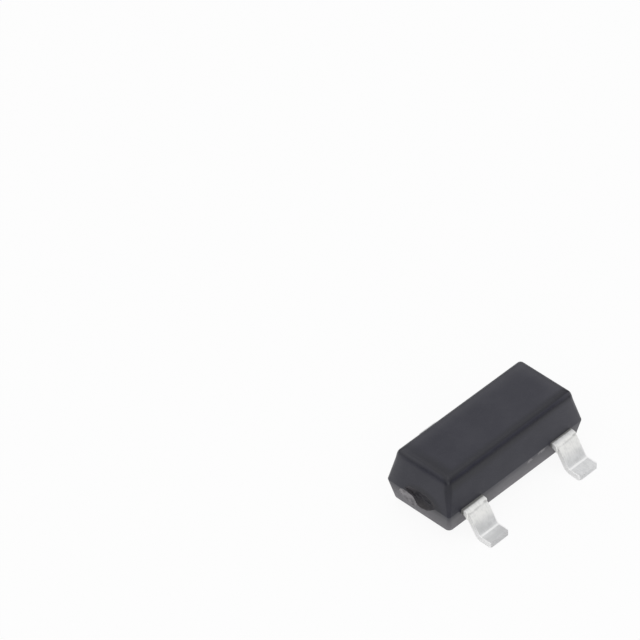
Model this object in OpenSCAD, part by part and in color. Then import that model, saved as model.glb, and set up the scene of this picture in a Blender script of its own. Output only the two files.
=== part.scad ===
// Three-lead surface-mount Schottky diode in a moulded package, sizes in millimetres.
// Origin: centre of the package on the plane of the lead soles. X runs along the body,
// Y across it with the single lead on the +Y side, Z up.

/* [Moulded body] */
// Length of the body at its parting line
body_l = 2.85; // [2.70:0.01:3.10]
// Width of the body at its parting line
body_w = 1.25; // [1.20:0.01:1.50]
// Height of the top face above the soles
top_z = 1.015; // [0.955:0.01:1.115]
// Height of the parting line above the soles, also the top of the lead frame
part_z = 0.432; // [0.40:0.002:0.47]
// Gap between the underside of the body and the soles
standoff = 0.056; // [0.02:0.002:0.10]
// Draft of the walls above the parting line, in degrees
upper_draft = 10.2; // [5:0.2:12]
// Draft of the walls below the parting line, in degrees
lower_draft = 10.0; // [5:0.2:12]
// Radius of the upright corners at the parting line
corner_r = 0.045; // [0.02:0.005:0.06]
// Radius of the top edges
top_edge_r = 0.090; // [0.06:0.005:0.14]
// Radius of the bottom edges
bottom_edge_r = 0.045; // [0.02:0.005:0.08]
// Height of the upright land left where the two mould halves meet
land_h = 0.012; // [0.005:0.001:0.02]

/* [Marks of the mould] */
// Depth of the broken gate in the end wall
gate_depth = 0.050; // [0.03:0.005:0.10]
// Share of the gate's outline that is left at its deepest point
gate_floor = 0.75; // [0.5:0.05:0.9]
// Diameter of the ejector pin mark in the underside
ejector_d = 0.60; // [0.3:0.02:0.8]
// Depth of the ejector pin mark
ejector_depth = 0.012; // [0.005:0.001:0.03]

/* [Leads] */
// Thickness of the frame strip
frame_t = 0.090; // [0.08:0.005:0.12]
// Width of a lead at its shank and foot
lead_w = 0.390; // [0.34:0.01:0.46]
// Width of a lead beside the body, where the dam bar was cut off
dam_w = 0.430; // [0.38:0.01:0.50]
// Reach of that wider stretch from the body wall
dam_run = 0.105; // [0.08:0.005:0.15]
// Distance between the two leads on one side, centre to centre
pitch = 1.90; // [1.80:0.02:2.00]
// Distance between the toes across the package
span = 2.36; // [2.30:0.02:2.70]
// Straight run of a lead outside the body before it bends
exit_run = 0.025; // [0.02:0.005:0.08]
// Slope of the shank below the horizontal, in degrees
shank_angle = 58; // [50:1:75]
// Inside radius of the bend at the shoulder
shoulder_r = 0.080; // [0.05:0.005:0.10]
// Inside radius of the bend at the heel
heel_r = 0.090; // [0.05:0.005:0.10]

/* [Inside the body] */
// Width of the die pad along X
pad_l = 0.96; // [0.7:0.02:1.0]
// Length of the die pad along Y
pad_w = 0.72; // [0.6:0.02:0.8]
// Width of a post head along X
post_l = 0.58; // [0.44:0.02:0.60]
// Length of a post head along Y
post_w = 0.24; // [0.18:0.02:0.28]
// Moulding compound between the body wall and a post head or the die pad
cover = 0.17; // [0.12:0.01:0.20]
// Radius of the frame's stamped corners
frame_corner_r = 0.040; // [0.02:0.005:0.06]
// Side of the square die
die_side = 0.32; // [0.24:0.02:0.40]
// Thickness of the die
die_t = 0.140; // [0.10:0.01:0.18]
// Thickness of the solder under the die
solder_t = 0.020; // [0.01:0.005:0.04]
// Reach of the solder beyond each side of the die
solder_fillet = 0.020; // [0.01:0.005:0.03]
// Width of the square contact metal on the die
contact_w = 0.22; // [0.14:0.02:0.22]
// Thickness of the contact metal
contact_t = 0.006; // [0.004:0.001:0.01]
// Diameter of the bond wire
wire_d = 0.025; // [0.018:0.001:0.03]
// Diameter of the ball at the start of the wire
ball_d = 0.075; // [0.06:0.005:0.09]
// Height of the ball
ball_h = 0.018; // [0.012:0.002:0.024]
// Rise of the wire above the ball, at the control points of its curve
loop_rise = 0.200; // [0.12:0.01:0.22]
// Length of the flattened stitch at the end of the wire
stitch_l = 0.080; // [0.06:0.005:0.10]
// Thickness of the stitch at its tip
stitch_t = 0.006; // [0.004:0.001:0.01]

/* [Hidden] */
$fn = 48;
ball_sides = 32;
arc_steps = 10;

// Frame strip: its underside, the start of the shoulder bend and the toes
frame_z = part_z - frame_t;
wall_y = body_w / 2;
bend_y = wall_y + exit_run;
toe_y = span / 2;

// Centre-line radii of the two bends, the shank between them and the start of the foot
shoulder_mid_r = shoulder_r + frame_t / 2;
heel_mid_r = heel_r + frame_t / 2;
bends_drop = (shoulder_mid_r + heel_mid_r) * (1 - cos(shank_angle));
shank_l = (frame_z - bends_drop) / sin(shank_angle);
foot_y = bend_y + (shoulder_mid_r + heel_mid_r) * sin(shank_angle) + shank_l * cos(shank_angle);

// Die stack, from the die pad up
solder_z = part_z;
die_z = solder_z + solder_t;
contact_z = die_z + die_t;
bond_z = contact_z + contact_t;

// Die pad and post heads, inside the walls
pad_y1 = wall_y - cover;
pad_y0 = pad_y1 - pad_w;
post_y0 = wall_y - cover - post_w;
die_y = (pad_y0 + pad_y1) / 2;

// Bond wire: from the ball at the middle of the die to the inner part of the anode's post head
stitch_place = 1 / 6;
wire_r = wire_d / 2;
stitch_x = -pitch / 2 + post_l * stitch_place;
stitch_y = -post_y0 - post_w / 2;
wire_run = norm([stitch_x, stitch_y - die_y]);
wire_angle = atan2(stitch_y - die_y, stitch_x);
wire_sides = 12;
ball_rings = 6;
// Share of the ball's height where it is widest, and how fast it narrows from there
ball_waist = 0.4;
ball_curve = 1.6;
loop_rings = 24;
// Share of the wire's run over which its top goes on rising, and the step that its slope is read over
loop_lean = 0.45;
slope_step = 0.01;

// Outline of the broken gate on the end wall, as [Y, Z above the parting line]
gate_outline = [[0.30, 0.05], [0.22, 0.13], [0.03, 0.16], [-0.17, 0.155], [-0.31, 0.13], [-0.38, 0.06],
                [-0.36, 0.00], [-0.28, -0.10], [-0.17, -0.19], [-0.04, -0.23], [0.05, -0.21], [0.10, -0.07],
                [0.15, -0.01]];
// Point of the outline that the pocket narrows towards, and its start outside the wall
gate_mid = [-0.03, -0.02];
gate_start = 0.02;

// Shrinks a half size to the tangent centre of an edge ball under a drafted wall
function ball_inset(rise, draft, r) = rise * tan(draft) + r / cos(draft);

// One moulded shell: both halves taper away from the land at the parting line
module shell() {
    top_in = ball_inset(top_z - top_edge_r - part_z, upper_draft, top_edge_r);
    low_in = ball_inset(part_z - land_h - standoff - bottom_edge_r, lower_draft, bottom_edge_r);
    hull() {
        for (sx = [-1, 1], sy = [-1, 1]) {
            translate([sx * (body_l / 2 - top_in), sy * (body_w / 2 - top_in), top_z - top_edge_r])
                sphere(r = top_edge_r, $fn = ball_sides);
            translate([sx * (body_l / 2 - corner_r), sy * (body_w / 2 - corner_r), part_z - land_h])
                cylinder(r = corner_r, h = land_h, $fn = ball_sides);
            translate([sx * (body_l / 2 - low_in), sy * (body_w / 2 - low_in), standoff + bottom_edge_r])
                sphere(r = bottom_edge_r, $fn = ball_sides);
        }
    }
}

// Pocket where the runner of compound broke away from the end wall
module broken_gate() {
    translate([-body_l / 2 - gate_start, gate_mid[0], part_z + gate_mid[1]])
        rotate([90, 0, 90])
            linear_extrude(height = gate_start + gate_depth, scale = gate_floor)
                polygon([for (p = gate_outline) p - gate_mid]);
}

module ejector_mark() {
    translate([0, 0, standoff - ejector_depth])
        cylinder(d = ejector_d, h = 2 * ejector_depth);
}

module mould_body() {
    color([0.16, 0.16, 0.18])
        difference() {
            shell();
            broken_gate();
            ejector_mark();
            lead_anode();
            lead_spare();
            lead_cathode();
            die_solder();
            die();
            anode_contact();
            bond_wire();
        }
}

// Points of an arc round a centre, from angle a0 to angle a1
function arc(mid, r, a0, a1) = [
    for (i = [0 : arc_steps])
        let (a = a0 + (a1 - a0) * i / arc_steps)
        mid + r * [cos(a), sin(a)]
];

// Side view of a formed lead, X outward from the middle of the package and Y up
module lead_profile() {
    shoulder = [bend_y, frame_z - shoulder_r];
    heel = [foot_y, frame_t + heel_r];
    flat_a = 90;
    steep_a = 90 - shank_angle;
    polygon(concat(
        [[-wall_y, frame_z], [-wall_y, part_z]],
        arc(shoulder, shoulder_r + frame_t, flat_a, steep_a),
        arc(heel, heel_r, steep_a + 180, flat_a + 180),
        [[toe_y, frame_t], [toe_y, 0]],
        arc(heel, heel_r + frame_t, flat_a + 180, steep_a + 180),
        arc(shoulder, shoulder_r, steep_a, flat_a)
    ));
}

// Formed strip, wider than any lead, running out along +Y
module formed_strip() {
    rotate([90, 0, 90])
        translate([0, 0, -body_l / 2])
            linear_extrude(height = body_l)
                lead_profile();
}

// Rectangle with stamped corners, from its lower left corner
module stamped_rect(size, r) {
    far = size - [r, r];
    polygon(concat(
        arc([r, r], r, 180, 270),
        arc([far[0], r], r, 270, 360),
        arc(far, r, 0, 90),
        arc([r, far[1]], r, 90, 180)
    ));
}

// Plan of a lead outside the body and through its wall, running out along +Y
module lead_plan(inner_y) {
    translate([-lead_w / 2, inner_y])
        square([lead_w, toe_y - inner_y]);
    translate([-dam_w / 2, wall_y - dam_run / 2])
        square([dam_w, dam_run * 1.5]);
}

// A lead cut from the strip, with the plan given as its child
module cut_lead() {
    intersection() {
        formed_strip();
        translate([0, 0, -frame_t])
            linear_extrude(height = part_z + 2 * frame_t)
                children();
    }
}

// A lead with a post head, on the -Y side at the given place along X
module post_lead(x) {
    mirror([0, 1, 0])
        translate([x, 0, 0])
            cut_lead() {
                union() {
                    lead_plan(post_y0 + post_w / 2);
                    translate([-post_l / 2, post_y0])
                        stamped_rect([post_l, post_w], frame_corner_r);
                }
            }
}

module lead_anode() {
    color([0.80, 0.80, 0.78])
        post_lead(-pitch / 2);
}

module lead_spare() {
    color([0.80, 0.80, 0.78])
        post_lead(pitch / 2);
}

module lead_cathode() {
    color([0.80, 0.80, 0.78])
        cut_lead() {
            union() {
                lead_plan(die_y);
                translate([-pad_l / 2, pad_y0])
                    stamped_rect([pad_l, pad_w], frame_corner_r);
            }
        }
}

// Square plate centred on the die's axis
module die_plate(side, z, t) {
    translate([-side / 2, die_y - side / 2, z])
        cube([side, side, t]);
}

module die_solder() {
    color([0.62, 0.63, 0.65])
        die_plate(die_side + 2 * solder_fillet, solder_z, solder_t);
}

module die() {
    color([0.33, 0.35, 0.40])
        die_plate(die_side, die_z, die_t);
}

module anode_contact() {
    color([0.86, 0.86, 0.86])
        die_plate(contact_w, contact_z, contact_t);
}

// Ring of the wire: centre [run, height], slope of the wire, half width and half height
function ring(mid, slope, half_w, half_h) = [
    for (i = [0 : wire_sides - 1])
        let (a = 360 * i / wire_sides)
        [mid[0] + half_h * cos(a) * -sin(slope), half_w * sin(a), mid[1] + half_h * cos(a) * cos(slope)]
];

// Radius of the squeezed ball at a share of its height
function ball_radius(s) = ball_d / 2 * sqrt(1 - pow(s - ball_waist, 2) * ball_curve);

// Curve of the loop from the top of the ball to the start of the stitch
function bezier(p, s) = pow(1 - s, 3) * p[0] + 3 * s * pow(1 - s, 2) * p[1]
    + 3 * s * s * (1 - s) * p[2] + pow(s, 3) * p[3];
loop_points = [
    [0, bond_z + ball_h],
    [0, bond_z + ball_h + loop_rise],
    [wire_run * loop_lean, bond_z + ball_h + loop_rise],
    [wire_run - stitch_l, part_z + wire_r]
];
function loop_slope(s) = let (d = bezier(loop_points, s + slope_step) - bezier(loop_points, s - slope_step))
    atan2(d[1], d[0]);

module bond_wire() {
    ball = [for (i = [0 : ball_rings - 1])
        let (s = i / ball_rings)
        ring([0, bond_z + ball_h * s], 90, ball_radius(s), ball_radius(s))];
    loop = [for (i = [0 : loop_rings])
        ring(bezier(loop_points, i / loop_rings), loop_slope(i / loop_rings), wire_r, wire_r)];
    stitch = [for (s = [0.5, 1])
        ring([wire_run - stitch_l * (1 - s), part_z + wire_r * (1 - s) * 0.5],
             0, wire_r * (1 + s), wire_r * (1 - s) + stitch_t * s)];
    rings = concat(ball, loop, stitch);
    count = len(rings);
    skin = [for (r = [0 : count - 2], i = [0 : wire_sides - 1])
        let (j = (i + 1) % wire_sides, a = r * wire_sides, b = a + wire_sides)
        each [[a + i, b + i, b + j], [a + i, b + j, a + j]]];
    ends = [[for (i = [0 : wire_sides - 1]) i],
            [for (i = [wire_sides - 1 : -1 : 0]) (count - 1) * wire_sides + i]];
    color([0.92, 0.74, 0.30])
        difference() {
            translate([0, die_y, 0])
                rotate([0, 0, wire_angle])
                    polyhedron(points = [for (r = rings) each r], faces = concat(skin, ends));
            translate([-body_l, -body_w, 0])
                cube([body_l, body_w, part_z]);
        }
}

mould_body();
lead_anode();
lead_spare();
lead_cathode();
die();
die_solder();
anode_contact();
bond_wire();
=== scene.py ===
"""Looks of the three-lead diode: smooth moulded body, formed leads, materials, light and camera.

Pieces are modelled in millimetres and brought to metres when they are finished.
"""
import math

import bmesh
import bpy
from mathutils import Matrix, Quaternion, Vector


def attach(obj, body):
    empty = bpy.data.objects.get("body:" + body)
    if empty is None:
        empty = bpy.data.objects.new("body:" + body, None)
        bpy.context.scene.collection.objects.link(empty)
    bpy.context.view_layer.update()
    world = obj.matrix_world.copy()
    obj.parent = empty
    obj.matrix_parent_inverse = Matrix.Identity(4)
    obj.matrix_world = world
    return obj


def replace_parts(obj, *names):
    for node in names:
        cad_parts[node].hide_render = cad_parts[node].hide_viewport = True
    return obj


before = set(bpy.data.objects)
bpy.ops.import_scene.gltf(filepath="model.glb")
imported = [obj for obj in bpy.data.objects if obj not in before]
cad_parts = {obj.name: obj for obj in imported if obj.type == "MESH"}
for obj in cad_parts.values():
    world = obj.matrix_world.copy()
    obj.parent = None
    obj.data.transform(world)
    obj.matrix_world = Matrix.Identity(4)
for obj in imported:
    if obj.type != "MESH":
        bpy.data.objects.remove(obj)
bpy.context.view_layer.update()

MM = 0.001

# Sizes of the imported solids, in millimetres
BODY_L, BODY_W, TOP_Z = 2.85, 1.25, 1.0145
PART_Z, LAND_H, STANDOFF = 0.432, 0.012, 0.0563
UPPER_DRAFT, LOWER_DRAFT = math.radians(10.2), math.radians(10.0)
CORNER_R, BOTTOM_CORNER_R, TOP_CORNER_R, TIGHT_R = 0.045, 0.080, 0.095, 0.006
EDGE_REACH, EDGE_FULLNESS, BOTTOM_EDGE_R = 0.190, 0.47, 0.040
FRAME_T, LEAD_W, DAM_W, DAM_RUN = 0.090, 0.390, 0.430, 0.105
PITCH, SPAN, EXIT_RUN = 1.90, 2.36, 0.025
SHANK_ANGLE, SHOULDER_R, HEEL_R = math.radians(58), 0.080, 0.090
STRIP_EDGE_R, TOE_CORNER_R, FRAME_CORNER_R = 0.022, 0.035, 0.040
PAD_L, PAD_W, POST_L, POST_W, COVER = 0.96, 0.72, 0.58, 0.24, 0.17
EJECTOR_D, EJECTOR_DEPTH, EJECTOR_EDGE_R = 0.60, 0.012, 0.006

WALL_Y = BODY_W / 2
BEND_Y = WALL_Y + EXIT_RUN
FRAME_Z = PART_Z - FRAME_T
TOE_Y = SPAN / 2

# Pockets broken into the end wall: the outline as (y, z above the parting line), how far in front of the
# wall the cutter starts and how deep it goes, the share that its floor narrows to and about which point,
# and its roughness
GATE = {"outline": [(0.27, 0.045), (0.19, 0.11), (0.02, 0.135), (-0.15, 0.13), (-0.27, 0.11),
                    (-0.35, 0.05), (-0.34, 0.00), (-0.25, -0.09), (-0.15, -0.165), (-0.04, -0.20),
                    (0.04, -0.185), (0.09, -0.07), (0.14, -0.01)],
        "start": 0.060, "depth": 0.050, "floor": 0.62, "low": (0.00, -0.10),
        "cuts": 4, "grain": 0.07, "rough": 0.022}
SCAR = {"outline": [(0.39, -0.08), (0.36, -0.03), (0.29, 0.00), (0.19, -0.01), (0.10, -0.03),
                    (0.06, -0.12), (0.08, -0.22), (0.13, -0.26), (0.21, -0.25), (0.30, -0.19),
                    (0.37, -0.13)],
        "start": 0.010, "depth": 0.010, "floor": 0.75, "low": (0.21, -0.12),
        "cuts": 5, "grain": 0.05, "rough": 0.010}
POCKET_INSET, POCKET_OCTAVES = 0.03, 4

# Steps of each rounding
EDGE_STEPS, CORNER_STEPS, BOTTOM_STEPS, EJECTOR_STEPS = 16, 12, 5, 3
BEND_STEPS, FRAME_CORNER_STEPS, TOE_STEPS, STRIP_EDGE_STEPS = 12, 6, 6, 4
EJECTOR_SIDES = 64

# Distances that count as none, the angles in degrees up to which an edge is smooth, and the least share of
# a face's normal along X that makes it a side face
SAME_PLACE, SAME_POINT, DOUBLE_GAP, BODY_SLIVER, LEAD_SLIVER = 1e-4, 1e-5, 2e-4, 5e-4, 2e-4
BODY_SMOOTH, LEAD_SMOOTH, SIDEWAYS = 14, 40, 0.9

# Painted patches: the middle along two axes in millimetres, how narrow the patch is along each, where its
# edge fades, and how ragged the edge is
GATE_SHADE = {"middle": (-0.09, 0.44), "narrow": (3.0, 5.6), "fade": (0.8, 1.7)}
SCAR_FRINGE = {"middle": (0.225, 0.307), "narrow": (5.3, 6.6), "fade": (1.3, 2.3), "ragged": 1.4,
               "per_mm": 16}
NICKS = [{"middle": (0.305, 0.372), "narrow": (17, 23), "fade": (2.3, 3.4), "ragged": 4.5, "per_mm": 38},
         {"middle": (0.540, 0.392), "narrow": (12, 23), "fade": (2.3, 3.4), "ragged": 4.5, "per_mm": 38}]
PINCHES = [{"middle": (x, 0.738), "narrow": (24, 60), "fade": (0.7, 2.0), "ragged": 1.6, "per_mm": 22}
           for x in (-0.79, 1.11)]

# Where the paint on the body changes, in millimetres: a pair gives where one change begins and ends, and a
# four gives a rise and then a fall. The painted sheen of an edge grows paler over its reach, by its gain.
END_WALL_X, NEAR_WALL_Y = (-1.38, -1.30), (-0.50, -0.45)
PALE_Z, UNDERSIDE_Z = (0.275, 0.440), (0.058, 0.080)
ON_TOP, BELOW_TOP, ON_NEAR_WALL, ON_CORNER = (0.02, 0.05), (0.045, 0.075), (0.02, 0.05), (0.04, 0.14)
NEAR_LINE, RIM_LINE = (0.025, 0.050, 0.07, 0.19), (0.035, 0.065, 0.12, 0.30)
WALL_LINE, CORNER_Z, RIDGE = (0.07, 0.21), (0.45, 0.90), (0.035, 0.070)
BESIDE_LEAD, BESIDE_WALL, BESIDE_Z = (0.19, 0.25), (0.05, 0.10), (0.44, 0.56)
GATE_ROOF_Z, GATE_FAR_Y = (0.24, 0.38), (0.05, 0.16)
SHEEN_REACH, SHEEN_GAIN, SHEEN_EDGE = 0.30, 3.3, (0.012, 0.003)

# Where the tin on the leads changes, in millimetres out from the middle of the body or up from the board.
# SIDE_FACE is across from the middle of a lead, and the last line along X.
SHOULDER_SEAM, HEEL_LINE, SHOULDER_FOOT_Z, SOLE_EDGE_Z = 0.752, 0.979, 0.30, 0.06
LIT_STRETCH_STARTS, LIT_STRETCH_ENDS, LEFT_FOOT = (0.625, 0.705), (0.812, 0.915), (1.02, 1.09)
SIDE_FACE, SIDE_FADE_Z, BLEED_SHADE_STARTS, BLEED_SHADE_ENDS = (0.172, 0.192), (0.10, 0.30), 0.60, (0.650, 0.678)
LEFT_TO_RIGHT, RIGHT_LEAD_X = (-0.4, 0.4), (0.3, 0.6)


# Modelling by hand

def only(piece):
    """Makes the piece the one that object operators work on."""
    bpy.ops.object.select_all(action="DESELECT")
    piece.select_set(True)
    bpy.context.view_layer.objects.active = piece


def open_new(name):
    """Names the primitive just added and opens it for editing."""
    piece = bpy.context.object
    piece.name = piece.data.name = name
    bpy.ops.object.mode_set(mode="EDIT")
    return piece


def close(piece):
    """Merges the doubled points, turns the faces outwards and leaves edit mode."""
    bpy.ops.mesh.select_all(action="SELECT")
    bpy.ops.mesh.remove_doubles(threshold=SAME_POINT)
    bpy.ops.mesh.normals_make_consistent(inside=False)
    bpy.ops.object.mode_set(mode="OBJECT")


def pick(piece, kind, test):
    """Selects only the faces or edges of the piece that pass the test."""
    bpy.ops.mesh.select_mode(type={"faces": "FACE", "edges": "EDGE"}[kind])
    bpy.ops.mesh.select_all(action="DESELECT")
    mesh = bmesh.from_edit_mesh(piece.data)
    for part in getattr(mesh, kind):
        if test(part):
            part.select_set(True)
    mesh.select_flush_mode()
    bmesh.update_edit_mesh(piece.data)


def all_at(part, axis, place):
    """Whether every vertex of an edge or face lies at that place along the axis."""
    return all(abs(v.co[axis] - place) < SAME_PLACE for v in part.verts)


def upright(edge):
    """Whether the edge of a flat strip goes through the strip's thickness."""
    return abs(edge.verts[0].co.z - edge.verts[1].co.z) > FRAME_T / 2


def extrude(x, y, z):
    """Extrudes what is selected by that much."""
    bpy.ops.mesh.extrude_region_move(TRANSFORM_OT_translate={"value": (x, y, z)})


def apply_step(piece, kind, **settings):
    """Adds a modifier to the piece and applies it."""
    only(piece)
    step = piece.modifiers.new(kind.title(), kind)
    for key, value in settings.items():
        setattr(step, key, value)
    bpy.ops.object.modifier_apply(modifier=step.name)


def cut_by(piece, cutter):
    """Takes the cutter out of the piece; the cut faces keep the cutter's material."""
    apply_step(piece, "BOOLEAN", operation="DIFFERENCE", object=cutter, solver="EXACT",
               material_mode="TRANSFER")
    bpy.data.objects.remove(cutter)


def clean(piece, sliver):
    """Splits many-sided faces, and joins the doubled points and slivers that cuts and bevels leave."""
    only(piece)
    bpy.ops.object.mode_set(mode="EDIT")
    pick(piece, "faces", lambda face: len(face.verts) > 4)
    bpy.ops.mesh.quads_convert_to_tris(ngon_method="BEAUTY")
    bpy.ops.mesh.select_all(action="SELECT")
    bpy.ops.mesh.remove_doubles(threshold=DOUBLE_GAP)
    bpy.ops.mesh.dissolve_degenerate(threshold=sliver)
    bpy.ops.object.mode_set(mode="OBJECT")


def smooth(piece, angle):
    """Smooth shading except over edges sharper than the angle, with the flat faces kept flat."""
    only(piece)
    bpy.ops.object.shade_smooth_by_angle(angle=math.radians(angle))
    apply_step(piece, "WEIGHTED_NORMAL", keep_sharp=True, weight=100)


def to_metres(piece):
    """Brings a piece modelled in millimetres to the frame's metres, with its place in its mesh."""
    only(piece)
    piece.scale = (MM, MM, MM)
    bpy.ops.object.transform_apply(location=True, rotation=True, scale=True)
    return piece


# Nodes

class Number:
    """A value inside a node tree; Python's operators on it add Math nodes."""

    def __init__(self, nodes, socket):
        self.nodes, self.socket = nodes, socket

    def maths(self, operation, *values):
        """The result of a Math node on the values."""
        node = self.nodes.node("ShaderNodeMath", {"operation": operation}, *values)
        return Number(self.nodes, node.outputs[0])

    def __add__(self, other): return self.maths("ADD", self, other)
    def __sub__(self, other): return self.maths("SUBTRACT", self, other)
    def __rsub__(self, other): return self.maths("SUBTRACT", other, self)
    def __mul__(self, other): return self.maths("MULTIPLY", self, other)
    def __pow__(self, other): return self.maths("POWER", self, other)
    def __gt__(self, other): return self.maths("GREATER_THAN", self, other)
    def __abs__(self): return self.maths("ABSOLUTE", self)
    __radd__, __rmul__ = __add__, __mul__

    def at_most(self, other): return self.maths("MINIMUM", self, other)
    def at_least(self, other): return self.maths("MAXIMUM", self, other)

    def ramp(self, low, high, start=0.0, end=1.0):
        """Goes smoothly from start to end as the value goes from low to high."""
        node = self.nodes.node("ShaderNodeMapRange", {"interpolation_type": "SMOOTHSTEP"},
                               self, low, high, start, end)
        return Number(self.nodes, node.outputs[0])

    def fall(self, low, high):
        """Goes smoothly from 1 to 0 as the value goes from low to high."""
        return self.ramp(low, high, 1.0, 0.0)

    def band(self, low, full, still, high):
        """Rises from 0 at low to 1 at full, and falls from 1 at still to 0 at high."""
        return self.ramp(low, full) * self.fall(still, high)


class Nodes:
    """A node tree, and the nodes that are added to it."""

    def __init__(self, tree):
        self.tree = tree

    def put(self, value, socket):
        """Gives a socket its value or its link."""
        value = value.socket if isinstance(value, Number) else value
        if isinstance(value, bpy.types.NodeSocket):
            self.tree.links.new(value, socket)
        else:
            socket.default_value = value

    def node(self, kind, settings, *values, **named):
        """A node of that type, with its settings made first and then its sockets' values or links."""
        node = self.tree.nodes.new(kind)
        for key, value in settings.items():
            if key == "stops":
                set_stops(node.color_ramp.elements, value)
            else:
                setattr(node, key, value)
        for key, value in [*enumerate(values), *named.items()]:
            self.put(value, node.inputs[key])
        return node


class Finish(Nodes):
    """One material of the object, with the place on the piece in millimetres as mm, x, y and z."""

    def __init__(self, name, **constants):
        self.material = bpy.data.materials.new(name)
        self.material.use_nodes = True
        super().__init__(self.material.node_tree)
        self.shader = self.tree.nodes["Principled BSDF"]
        for socket, value in constants.items():
            self.shader.inputs[socket].default_value = value
        place = self.node("ShaderNodeTexCoord", {}).outputs["Object"]
        self.mm = self.node("ShaderNodeVectorMath", {"operation": "SCALE"},
                            Vector=place, Scale=1 / MM).outputs[0]
        axes = self.node("ShaderNodeSeparateXYZ", {}, self.mm)
        self.x, self.y, self.z = (Number(self, axis) for axis in axes.outputs)

    def noise(self, per_mm, detail=3.0, roughness=0.5, stretch=(1, 1, 1)):
        """Noise with that many features to a millimetre."""
        place = self.node("ShaderNodeVectorMath", {"operation": "MULTIPLY"}, self.mm, stretch).outputs[0]
        node = self.node("ShaderNodeTexNoise", {}, Vector=place, Scale=per_mm, Detail=detail,
                         Roughness=roughness)
        return Number(self, node.outputs["Fac"])

    def patch(self, first, second, middle, narrow, fade, ragged=0.0, per_mm=1.0):
        """An oval patch on the plane of two axes, 1 in its middle and 0 outside."""
        across, up = (first - middle[0]) * narrow[0], (second - middle[1]) * narrow[1]
        edge = across * across + up * up
        if ragged:
            edge = edge + ragged * self.noise(per_mm)
        return edge.fall(*fade)

    def blend(self, share, first, second):
        """Colour from the first to the second, by the share."""
        node = self.node("ShaderNodeMix", {"data_type": "RGBA"}, share)
        first_colour, second_colour, result = node.inputs[6], node.inputs[7], node.outputs[2]
        self.put(first, first_colour)
        self.put(second, second_colour)
        return result

    def feed(self, socket, value):
        """Links a value to one of the shader's sockets."""
        self.put(value, self.shader.inputs[socket])

    def relief(self, height, depth_mm, strength):
        """Bump from a height between 0 and 1 that stands for that depth in millimetres."""
        node = self.node("ShaderNodeBump", {}, Strength=strength, Distance=depth_mm * MM, Height=height)
        self.feed("Normal", node.outputs[0])


def colour(*parts):
    """A colour for a socket, from three numbers, or a grey from one."""
    return (*(parts * 3)[:3], 1.0)


def set_stops(elements, stops):
    """Gives a colour ramp its stops, as (place, level of grey)."""
    while len(elements) < len(stops):
        elements.new(1.0)
    for element, (place, level) in zip(elements, stops):
        element.position, element.color = place, colour(level)


# Materials

# Black for painted shade on the body
PAINTED_SHADE_BLACK = colour(0.003, 0.003, 0.010)
PURE_WHITE = colour(1.0)
CREASE_SHADE_TIN = colour(0.45, 0.45, 0.44)


def mould_compound():
    """Matt black epoxy compound: fine grain, faint mottle, painted sheen and painted shade on the edges,
    pale below the parting line, partly from painted light off the floor.
    """
    finish = Finish("mould_compound", IOR=1.5)
    mottle = finish.noise(1.6, detail=4.0, roughness=0.6).ramp(0.3, 0.7)
    cloud = finish.noise(6, detail=4.0, roughness=0.6).ramp(0.3, 0.7)
    grain = finish.noise(42, detail=2.0)
    end = finish.x.fall(*END_WALL_X)
    low = finish.z + 0.020 * cloud + 0.014 * finish.noise(18, detail=2.0)
    # Below the parting line: grey filler, made paler towards the foot by painted light from the floor below
    pale = low.fall(*PALE_Z) * finish.z.ramp(*UNDERSIDE_Z)
    coat = finish.blend(pale * (0.85 + 0.3 * cloud), black_coat(finish, mottle, cloud, end),
                        pale_skin_and_floor_light(finish, cloud, end, low))
    for nick in NICKS:
        bare = finish.patch(finish.x, finish.z, **nick) * finish.y.fall(*NEAR_WALL_Y)
        coat = finish.blend(bare * 0.9, coat, colour(0.215, 0.208, 0.217))
    finish.feed("Base Color", coat)
    finish.feed("Roughness", 0.36 + 0.06 * mottle + 0.08 * grain)
    finish.relief(grain + 0.6 * finish.noise(15, detail=2.0), 0.0022, 0.55)
    return finish.material


def black_coat(finish, mottle, cloud, end):
    """Colour above the parting line: mottled black, painted sheen towards the far and right edges, painted
    shade lines along the near and left edges, painted light on the wall above each lead, and painted shade
    round the gate.
    """
    specks = finish.noise(60, detail=1.0).ramp(0.62, 0.74)
    tone = 0.55 * mottle + finish.x.ramp(-1.5, 1.5) * 0.45
    black = finish.blend(tone, colour(0.0060, 0.0060, 0.0180), colour(0.0300, 0.0298, 0.0430))
    black = finish.blend(specks * 0.4, black, colour(0.045, 0.045, 0.050))
    lean = (finish.z - PART_Z) * math.tan(UPPER_DRAFT)
    # Painted sheen: the upper half grows paler towards the far and the right edges
    for place, edge in ((finish.y + lean, WALL_Y), (finish.x + lean, BODY_L / 2)):
        far_edge_sheen = ((place - edge + SHEEN_REACH) * SHEEN_GAIN).at_least(0.0) ** 2
        far_edge_sheen = far_edge_sheen * place.fall(edge - SHEEN_EDGE[0], edge - SHEEN_EDGE[1])
        black = finish.blend(far_edge_sheen * (0.75 + 0.25 * cloud), black, colour(0.074, 0.074, 0.084))
    near, left = finish.y - lean + WALL_Y, finish.x - lean + BODY_L / 2
    black = painted_edge_shade_and_highlight(finish, black, near, left)
    # Painted light: the wall just above each lead is paler, where the lead shades it
    painted_light_beside_lead = abs(abs(finish.x) - PITCH / 2).fall(*BESIDE_LEAD) * near.fall(*BESIDE_WALL)
    black = finish.blend(painted_light_beside_lead * finish.z.fall(*BESIDE_Z) * 0.4, black, colour(0.055, 0.055, 0.062))
    # Painted shade on the end wall round the broken gate
    painted_gate_shade = finish.patch(finish.y, finish.z, **GATE_SHADE) * end
    return finish.blend(painted_gate_shade * 0.9, black, PAINTED_SHADE_BLACK)


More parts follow.
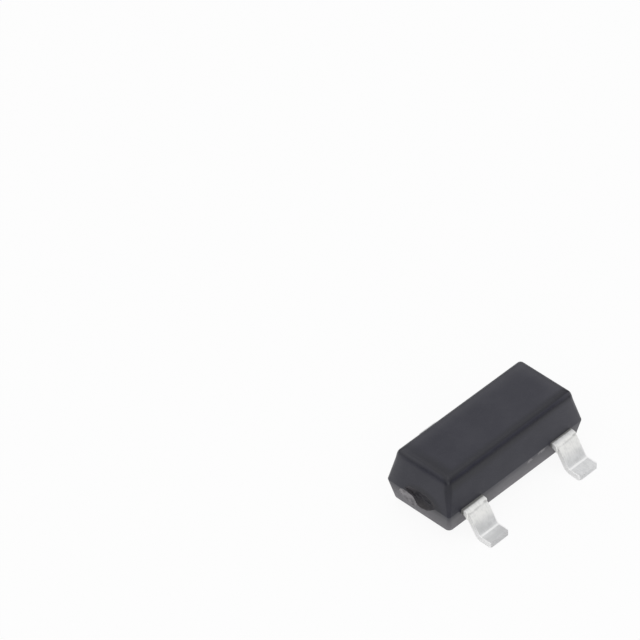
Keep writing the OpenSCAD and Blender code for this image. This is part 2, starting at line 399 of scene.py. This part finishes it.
def painted_edge_shade_and_highlight(finish, black, near, left):
    """Painted shade along the near and left rounded edges and over the near corner, and a painted highlight
    along the crest of the left one.

    near and left are distances from the near wall and from the left end wall, in millimetres.
    """
    top = TOP_Z - finish.z
    on_top = top.fall(*ON_TOP)
    above = near.band(*NEAR_LINE) * on_top
    below = top.ramp(*BELOW_TOP) * (top + finish.x.ramp(-1.0, 1.2, -0.05, 0.03)).fall(*WALL_LINE)
    below = below * near.fall(*ON_NEAR_WALL)
    corner = near.at_least(left).fall(*ON_CORNER) * finish.z.ramp(*CORNER_Z)
    # Painted shade on and under the near top edge, and over the near corner
    black = finish.blend(above.at_least(below).at_least(corner * 0.8), black, PAINTED_SHADE_BLACK)
    rim = left.band(*RIM_LINE) * on_top
    black = finish.blend(rim * near.ramp(0.30, 1.00, 1.0, 0.4), black, PAINTED_SHADE_BLACK)
    # Painted highlight along the crest of the left top edge
    ridge = left.at_least(top).fall(*RIDGE) * near.ramp(0.20, 0.90, 0.3, 1.0)
    return finish.blend(ridge * 0.9, black, colour(0.036, 0.036, 0.044))


def pale_skin_and_floor_light(finish, cloud, end, low):
    """Colour below the parting line: grey filler at the surface, made paler towards the foot by painted
    light from the floor below, with less of that painted light on the near half of the end wall, and palest
    beside the scar.
    """
    skin = finish.blend(low.ramp(0.12, 0.30), colour(0.168, 0.159, 0.177), colour(0.100, 0.096, 0.109))
    skin = finish.blend(cloud * 0.20, skin, colour(0.070, 0.066, 0.074))
    # Less painted light on the near half of the end wall
    skin = finish.blend(end * finish.y.ramp(-0.30, 0.30, 0.14, 0.0), skin, colour(0.030))
    fringe = finish.patch(finish.y, finish.z, **SCAR_FRINGE) * end
    return finish.blend(fringe * 0.5, skin, colour(0.200, 0.190, 0.202))


def broken_compound():
    """Compound where it broke deep: rough and dark, darkest under the crater's upper rim by painted shade
    and lighter on its far side by painted light.
    """
    finish = Finish("broken_compound", IOR=1.5)
    coarse = finish.noise(14, detail=5.0, roughness=0.65)
    fine = finish.noise(70, detail=2.0)
    # Painted shade under the upper rim of the crater, and painted light on its far side
    dark = finish.blend(finish.z.ramp(*GATE_ROOF_Z), colour(0.072, 0.067, 0.071),
                        colour(0.016, 0.015, 0.021))
    dark = finish.blend(finish.y.ramp(*GATE_FAR_Y), dark, colour(0.060, 0.056, 0.064))
    dark = finish.blend(coarse.ramp(0.35, 0.7) * 0.3, dark, colour(0.050, 0.047, 0.053))
    finish.feed("Base Color", dark)
    finish.feed("Roughness", 0.62 + 0.2 * fine)
    finish.relief(coarse + 0.4 * fine, 0.010, 0.8)
    return finish.material


def scuffed_compound():
    """Compound with its skin torn off: the pale filler laid bare in patches."""
    finish = Finish("scuffed_compound", IOR=1.5)
    coarse = finish.noise(11, detail=5.0, roughness=0.65)
    fine = finish.noise(60, detail=2.0)
    finish.feed("Base Color", finish.blend(coarse.ramp(0.35, 0.65), colour(0.170, 0.162, 0.172),
                                           colour(0.320, 0.308, 0.323)))
    finish.feed("Roughness", 0.60 + 0.2 * fine)
    finish.relief(coarse + 0.4 * fine, 0.008, 0.8)
    return finish.material


def tinned_metal():
    """Matt tin on copper alloy strip: soft grain, faint drawing marks and duller stretches, with painted
    light over the shoulder, along the heel and on the lower side faces, and painted shade at the shoulder
    crease and the body.
    """
    finish = Finish("tinned_lead")
    out = abs(finish.y)
    cloud = finish.noise(5, detail=4.0, roughness=0.6)
    blotch = finish.noise(13, detail=3.0, roughness=0.6).ramp(0.35, 0.65)
    grain = finish.noise(38, detail=3.0)
    drawn = finish.noise(16, detail=2.0, stretch=(3.0, 0.5, 0.5))
    tin = plain_tin(finish, out, cloud, blotch, drawn)
    # Painted highlight along the bend of the heel
    heel = abs(out - HEEL_LINE + 0.02 * (cloud - 0.5)).fall(0.004, 0.024) * (finish.z > SOLE_EDGE_Z)
    tin = finish.blend(heel * (0.65 + 0.25 * blotch), tin, PURE_WHITE)
    # Painted light: the side faces of the leads paler towards the foot
    side = abs(finish.x).at_most(abs(abs(finish.x) - PITCH / 2)).ramp(*SIDE_FACE)
    tin = finish.blend(side * finish.z.ramp(*SIDE_FADE_Z, 0.95, 0.0), tin, PURE_WHITE)
    tin = shoulder_crease_shade(finish, tin, out)
    # Dark resin bleed where the lead leaves the body, deepened by painted shade of the body
    bleed_and_shade = (out + 0.02 * cloud - by_side(finish, 0.012, 0.0)).fall(*BLEED_SHADE_ENDS) * (out > BLEED_SHADE_STARTS)
    finish.feed("Base Color", finish.blend(bleed_and_shade * 0.85, tin, colour(0.14, 0.14, 0.13)))
    finish.feed("Metallic", 0.15 + 0.10 * grain)
    finish.feed("Roughness", 0.46 + 0.10 * cloud + 0.08 * grain)
    finish.relief(grain * 0.5 + drawn, 0.003, 0.5)
    return finish.material


def by_side(finish, left, right):
    """One number on the left lead and another on the right one."""
    return finish.x.ramp(*LEFT_TO_RIGHT, left, right)


def plain_tin(finish, out, cloud, blotch, drawn):
    """Colour of the tin: painted light over the shoulder and upper shank, darker on the left foot, paler on
    the right lead.
    """
    # Painted light: a brighter stretch over the shoulder and upper shank
    lit_stretch = (out - by_side(finish, 0.012, 0.035)).ramp(*LIT_STRETCH_STARTS) * out.fall(*LIT_STRETCH_ENDS)
    tin = finish.blend(cloud.ramp(0.35, 0.7), colour(0.68, 0.685, 0.69), colour(0.78, 0.785, 0.79))
    tin = finish.blend(by_side(finish, 0.35, 0.0) * out.ramp(*LEFT_FOOT), tin, colour(0.50, 0.50, 0.505))
    tin = finish.blend(finish.x.ramp(*RIGHT_LEAD_X) * 0.35, tin, colour(0.92, 0.925, 0.93))
    tin = finish.blend(lit_stretch, tin, colour(1.0, 1.0, 0.98))
    dull = blotch * drawn.ramp(0.3, 0.6) * (0.5 - 0.2 * lit_stretch)
    return finish.blend(dull, tin, colour(0.60, 0.605, 0.61))


def shoulder_crease_shade(finish, tin, out):
    """Painted shade of the forming tool's crease: a broken dark line across the shoulder, and a darker pinch
    at one side.
    """
    shoulder = finish.z > SHOULDER_FOOT_Z
    seam = abs(out - SHOULDER_SEAM + 0.03 * (finish.noise(7) - 0.5)).fall(0.0, 0.022)
    # Painted crease shade across the shoulder
    crease_shade = seam * finish.noise(9).ramp(0.3, 0.6) * shoulder
    tin = finish.blend(crease_shade * 0.45, tin, CREASE_SHADE_TIN)
    for pinch in PINCHES:
        tin = finish.blend(finish.patch(finish.x, out, **pinch) * shoulder * 0.6, tin, CREASE_SHADE_TIN)
    return tin


def silicon():
    """Sawn silicon: dark and glossy, with a faint saw texture on the sides."""
    finish = Finish("silicon", IOR=3.0)
    sawn = finish.noise(30, detail=1.0, stretch=(0.2, 0.2, 3.0))
    finish.feed("Base Color", finish.blend(sawn, colour(0.06, 0.065, 0.08), colour(0.10, 0.11, 0.13)))
    finish.feed("Roughness", 0.12 + 0.2 * sawn)
    return finish.material


def plain_metal(name, first, second, per_mm, rough, depth):
    """A metal with a little colour variation and grain."""
    finish = Finish(name, Metallic=1.0)
    grain = finish.noise(per_mm, detail=3.0)
    finish.feed("Base Color", finish.blend(grain, first, second))
    finish.feed("Roughness", rough + 0.12 * grain)
    finish.relief(grain, depth, 0.5)
    return finish.material


# Moulded body

def top_edge_levels(inset):
    """Levels of the rounded top edge, from the drafted wall to the flat, as (height, inset, plan radius)."""
    for step in range(EDGE_STEPS + 1):
        share = step / EDGE_STEPS
        down = EDGE_REACH * (1 - math.sin(share * math.pi / 2) ** EDGE_FULLNESS)
        inwards = EDGE_REACH * (1 - math.cos(share * math.pi / 2) ** EDGE_FULLNESS)
        yield (TOP_Z - down * math.cos(UPPER_DRAFT), inset + inwards - down * math.sin(UPPER_DRAFT),
               TOP_CORNER_R + (TIGHT_R - TOP_CORNER_R) * share)


def moulded_body(surface, fracture, scuffed):
    """Two tapered halves on a thin land, with rounded edges, a broken gate and an ejector mark."""
    upper_in = (TOP_Z - PART_Z) * math.tan(UPPER_DRAFT)
    lower_in = (PART_Z - LAND_H - STANDOFF) * math.tan(LOWER_DRAFT)
    levels = [(STANDOFF, lower_in, BOTTOM_CORNER_R), (PART_Z - LAND_H, 0, CORNER_R), (PART_Z, 0, CORNER_R),
              *top_edge_levels(upper_in)]
    body = None
    for height, inset, radius in levels:
        bpy.ops.mesh.primitive_plane_add(size=2, location=(0, 0, 0))
        if body is None:
            body = open_new("moulded_body")
        bpy.ops.transform.resize(value=(BODY_L / 2 - inset, BODY_W / 2 - inset, 1),
                                 center_override=(0, 0, 0))
        bpy.ops.transform.translate(value=(0, 0, height))
        bpy.ops.mesh.bevel(affect="VERTICES", offset=radius, segments=CORNER_STEPS)
        bpy.ops.mesh.select_all(action="DESELECT")
    pick(body, "faces", lambda face: face.calc_center_median().z < TOP_Z - SAME_POINT)
    bpy.ops.mesh.delete(type="ONLY_FACE")
    for low, high in zip(levels, levels[1:]):
        pick(body, "edges", lambda edge: all_at(edge, 2, low[0]) or all_at(edge, 2, high[0]))
        bpy.ops.mesh.bridge_edge_loops()
    pick(body, "edges", lambda edge: all_at(edge, 2, STANDOFF))
    bpy.ops.mesh.edge_face_add()
    pick(body, "edges", lambda edge: all_at(edge, 2, STANDOFF))
    bpy.ops.mesh.bevel(affect="EDGES", offset=BOTTOM_EDGE_R, segments=BOTTOM_STEPS, clamp_overlap=False)
    close(body)
    body.data.materials.append(surface)
    cut_by(body, broken_pocket("gate_scar", scuffed, **SCAR))
    cut_by(body, broken_pocket("gate_break", fracture, **GATE))
    cut_by(body, ejector_mark(surface))
    clean(body, BODY_SLIVER)
    smooth(body, BODY_SMOOTH)
    return to_metres(body)


def end_wall(z):
    """Place along X of the drafted end wall, at a height above the parting line."""
    return -BODY_L / 2 + (z * math.tan(UPPER_DRAFT) if z > 0 else -z * math.tan(LOWER_DRAFT))


def broken_pocket(name, surface, outline, start, depth, floor, low, cuts, grain, rough):
    """Rough cutter for a pocket in the end wall, where compound broke away or its skin was torn off."""
    bpy.ops.mesh.primitive_circle_add(vertices=len(outline), fill_type="NGON")
    cutter = open_new(name)
    mesh = bmesh.from_edit_mesh(cutter.data)
    for vertex, (y, z) in zip(mesh.verts, outline):
        vertex.co = (end_wall(z) - start, y, PART_Z + z)
    bmesh.update_edit_mesh(cutter.data)
    extrude(start, 0, 0)
    extrude(depth, 0, 0)
    bpy.ops.transform.resize(value=(1, floor, floor), center_override=(0, low[0], PART_Z + low[1]))
    bpy.ops.mesh.inset(thickness=POCKET_INSET)
    bpy.ops.mesh.poke()
    bpy.ops.mesh.select_all(action="SELECT")
    bpy.ops.mesh.subdivide(number_cuts=cuts)
    close(cutter)
    cutter.data.materials.append(surface)
    rubble = bpy.data.textures.new(name, "CLOUDS")
    rubble.noise_scale, rubble.noise_depth = grain, POCKET_OCTAVES
    apply_step(cutter, "DISPLACE", texture=rubble, strength=rough, mid_level=0.5, texture_coords="LOCAL")
    return cutter


def ejector_mark(surface):
    """Cutter for the shallow round mark of the ejector pin in the underside."""
    bpy.ops.mesh.primitive_cylinder_add(vertices=EJECTOR_SIDES, radius=EJECTOR_D / 2,
                                        depth=2 * EJECTOR_DEPTH, location=(0, 0, STANDOFF))
    bpy.ops.object.transform_apply(location=True)
    cutter = open_new("ejector_mark")
    pick(cutter, "edges", lambda edge: all_at(edge, 2, STANDOFF + EJECTOR_DEPTH))
    bpy.ops.mesh.bevel(affect="EDGES", offset=EJECTOR_EDGE_R, segments=EJECTOR_STEPS)
    close(cutter)
    cutter.data.materials.append(surface)
    return cutter


# Leads

def formed_lead(name, tin, head_l, head_w, x, turned):
    """A lead and its head, cut from strip and formed to a gull wing, running out along -Y."""
    start = -(WALL_Y - COVER - head_w)
    dam_start, dam_end = -WALL_Y + DAM_RUN / 2, -WALL_Y - DAM_RUN
    bpy.ops.mesh.primitive_plane_add(size=1, location=(0, 0, 0), rotation=(math.pi / 2, 0, 0))
    bpy.ops.object.transform_apply(rotation=True)
    lead = open_new(name)
    bpy.ops.transform.resize(value=(LEAD_W, 1, FRAME_T), center_override=(0, 0, 0))
    bpy.ops.transform.translate(value=(0, start, PART_Z - FRAME_T / 2))
    for stop in (start - head_w, dam_start, -BEND_Y):
        extrude(0, stop - start, 0)
        start = stop
    form_gull_wing()
    bpy.ops.mesh.select_all(action="SELECT")
    bpy.ops.mesh.bisect(plane_co=(0, dam_end, 0), plane_no=(0, 1, 0))
    for side in (-1, 1):
        pick(lead, "faces", lambda face: face.normal.x * side > SIDEWAYS
             and face.calc_center_median().y > COVER - WALL_Y)
        extrude(side * (head_l - LEAD_W) / 2, 0, 0)
        pick(lead, "faces", lambda face: face.normal.x * side > SIDEWAYS
             and dam_end < face.calc_center_median().y < dam_start)
        extrude(side * (DAM_W - LEAD_W) / 2, 0, 0)
    pick(lead, "edges", lambda edge: upright(edge)
         and all(abs(abs(v.co.x) - head_l / 2) < SAME_PLACE for v in edge.verts))
    bpy.ops.mesh.bevel(affect="EDGES", offset=FRAME_CORNER_R, segments=FRAME_CORNER_STEPS)
    pick(lead, "edges", lambda edge: upright(edge) and all_at(edge, 1, -TOE_Y))
    bpy.ops.mesh.bevel(affect="EDGES", offset=TOE_CORNER_R, segments=TOE_STEPS)
    close(lead)
    apply_step(lead, "BEVEL", limit_method="ANGLE", angle_limit=math.radians(LEAD_SMOOTH),
               width=STRIP_EDGE_R, segments=STRIP_EDGE_STEPS, use_clamp_overlap=True)
    clean(lead, LEAD_SLIVER)
    lead.data.materials.append(tin)
    smooth(lead, LEAD_SMOOTH)
    lead.rotation_euler.z = math.pi if turned else 0
    lead.location.x = x
    only(lead)
    bpy.ops.object.transform_apply(location=True, rotation=True)
    return to_metres(lead)


def form_gull_wing():
    """Takes the strip's open end round the shoulder, down the shank, round the heel and out to the toe."""
    bends = SHOULDER_R + HEEL_R + FRAME_T
    shank_l = (FRAME_Z - bends * (1 - math.cos(SHANK_ANGLE))) / math.sin(SHANK_ANGLE)
    foot_y = BEND_Y + bends * math.sin(SHANK_ANGLE) + shank_l * math.cos(SHANK_ANGLE)
    bpy.ops.mesh.spin(steps=BEND_STEPS, angle=-SHANK_ANGLE, center=(0, -BEND_Y, FRAME_Z - SHOULDER_R),
                      axis=(1, 0, 0))
    extrude(0, -shank_l * math.cos(SHANK_ANGLE), -shank_l * math.sin(SHANK_ANGLE))
    bpy.ops.mesh.spin(steps=BEND_STEPS, angle=SHANK_ANGLE, center=(0, -foot_y, FRAME_T + HEEL_R),
                      axis=(1, 0, 0))
    extrude(0, foot_y - TOE_Y, 0)


# Pieces

compound, tin = mould_compound(), tinned_metal()
body = moulded_body(compound, broken_compound(), scuffed_compound())
leads = [("near_left_lead", "lead_anode", POST_L, POST_W, -PITCH / 2, False),
         ("near_right_lead", "lead_spare", POST_L, POST_W, PITCH / 2, False),
         ("far_lead", "lead_cathode", PAD_L, PAD_W, 0, True)]
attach(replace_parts(body, "mould_body"), "root")
for name, node, head_l, head_w, x, turned in leads:
    lead = formed_lead(name, tin, head_l, head_w, x, turned)
    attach(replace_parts(lead, node), "root")

inside = {
    "die": silicon(),
    "die_solder": plain_metal("solder", colour(0.40, 0.41, 0.43), colour(0.52, 0.53, 0.55),
                              per_mm=20, rough=0.38, depth=0.002),
    "anode_contact": plain_metal("contact_metal", colour(0.76), colour(0.84),
                                 per_mm=60, rough=0.22, depth=0.0005),
    "bond_wire": plain_metal("wire_metal", colour(0.83, 0.60, 0.22), colour(0.90, 0.68, 0.28),
                             per_mm=40, rough=0.20, depth=0.0005),
}
for node, finish in inside.items():
    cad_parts[node].data.materials.clear()
    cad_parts[node].data.materials.append(finish)


# Studio

FLOOR_SIZE, FLOOR_DROP, FLOOR_GLOW = 0.6, 2e-6, 0.92
TENT_LEVELS = [(0.0, 0.22), (0.22, 0.22), (0.45, 0.60), (0.70, 0.95), (0.85, 1.10), (1.0, 1.10)]
LAMPS_AIM = Vector((0, 0, 0.5))
CAMERA_PLACE, CAMERA_AIM = Vector((-42.187, -40.532, 56.008)), Vector((0.3126, 3.6847, 0.5))
CAMERA_ROLL, SENSOR_W, LENS = math.radians(-2.4834), 36, 310.5
CLIP_START, CLIP_END = 0.005, 2.0


def studio_floor():
    """Pale floor that shows white to the camera and keeps the object's shadow."""
    bpy.ops.mesh.primitive_plane_add(size=FLOOR_SIZE, location=(0, 0, -FLOOR_DROP))
    floor = bpy.context.object
    floor.name = "floor"
    material = bpy.data.materials.new("pale_floor")
    material.use_nodes = True
    material.node_tree.nodes.clear()
    nodes = Nodes(material.node_tree)
    pale = nodes.node("ShaderNodeBsdfDiffuse", {}, Color=colour(0.86)).outputs[0]
    glow = nodes.node("ShaderNodeEmission", {}, Color=PURE_WHITE, Strength=1.0).outputs[0]
    path = nodes.node("ShaderNodeLightPath", {}).outputs
    seen = Number(nodes, path["Is Camera Ray"]).at_least(Number(nodes, path["Is Glossy Ray"]))
    above = nodes.node("ShaderNodeMixShader", {}, seen * FLOOR_GLOW, pale, glow).outputs[0]
    below = nodes.node("ShaderNodeBsdfTransparent", {}).outputs[0]
    side = nodes.node("ShaderNodeNewGeometry", {}).outputs["Backfacing"]
    both = nodes.node("ShaderNodeMixShader", {}, side, above, below).outputs[0]
    nodes.node("ShaderNodeOutputMaterial", {}, Surface=both)
    floor.data.materials.append(material)


def studio_air():
    """White to the camera; to the object a light tent, dim low down and bright overhead."""
    world = bpy.data.worlds.new("light_tent")
    world.use_nodes = True
    world.node_tree.nodes.clear()
    bpy.context.scene.world = world
    nodes = Nodes(world.node_tree)
    direction = nodes.node("ShaderNodeTexCoord", {}).outputs["Generated"]
    height = nodes.node("ShaderNodeSeparateXYZ", {}, direction).outputs["Z"]
    level = nodes.node("ShaderNodeValToRGB", {"stops": TENT_LEVELS}, height).outputs[0]
    tent = nodes.node("ShaderNodeBackground", {}, Color=level, Strength=0.9).outputs[0]
    white = nodes.node("ShaderNodeBackground", {}, Color=PURE_WHITE, Strength=1.0).outputs[0]
    seen = nodes.node("ShaderNodeLightPath", {}).outputs["Is Camera Ray"]
    both = nodes.node("ShaderNodeMixShader", {}, seen, tent, white).outputs[0]
    nodes.node("ShaderNodeOutputWorld", {}, Surface=both)


def softbox(name, place, size, watts):
    """A square soft light at a place in millimetres, turned to the object."""
    data = bpy.data.lights.new(name, "AREA")
    data.shape, data.size, data.energy = "SQUARE", size * MM, watts
    lamp = bpy.data.objects.new(name, data)
    bpy.context.scene.collection.objects.link(lamp)
    lamp.location = Vector(place) * MM
    lamp.rotation_euler = (LAMPS_AIM - Vector(place)).to_track_quat("-Z", "Y").to_euler()


def photo_camera():
    """Camera at the photograph's place, aimed so that the diode falls right of and below the middle."""
    data = bpy.data.cameras.new("camera")
    data.sensor_width, data.lens = SENSOR_W, LENS
    data.clip_start, data.clip_end = CLIP_START, CLIP_END
    camera = bpy.data.objects.new("camera", data)
    bpy.context.scene.collection.objects.link(camera)
    camera.location = CAMERA_PLACE * MM
    camera.rotation_mode = "QUATERNION"
    camera.rotation_quaternion = ((CAMERA_AIM - CAMERA_PLACE).to_track_quat("-Z", "Y")
                                  @ Quaternion((0, 0, 1), CAMERA_ROLL))
    bpy.context.scene.camera = camera


studio_floor()
studio_air()
softbox("overhead", (14, 16, 60), size=40, watts=0.004)
softbox("front", (-30, -34, 16), size=24, watts=0.0041)
photo_camera()
bpy.context.scene.view_settings.view_transform = "Standard"
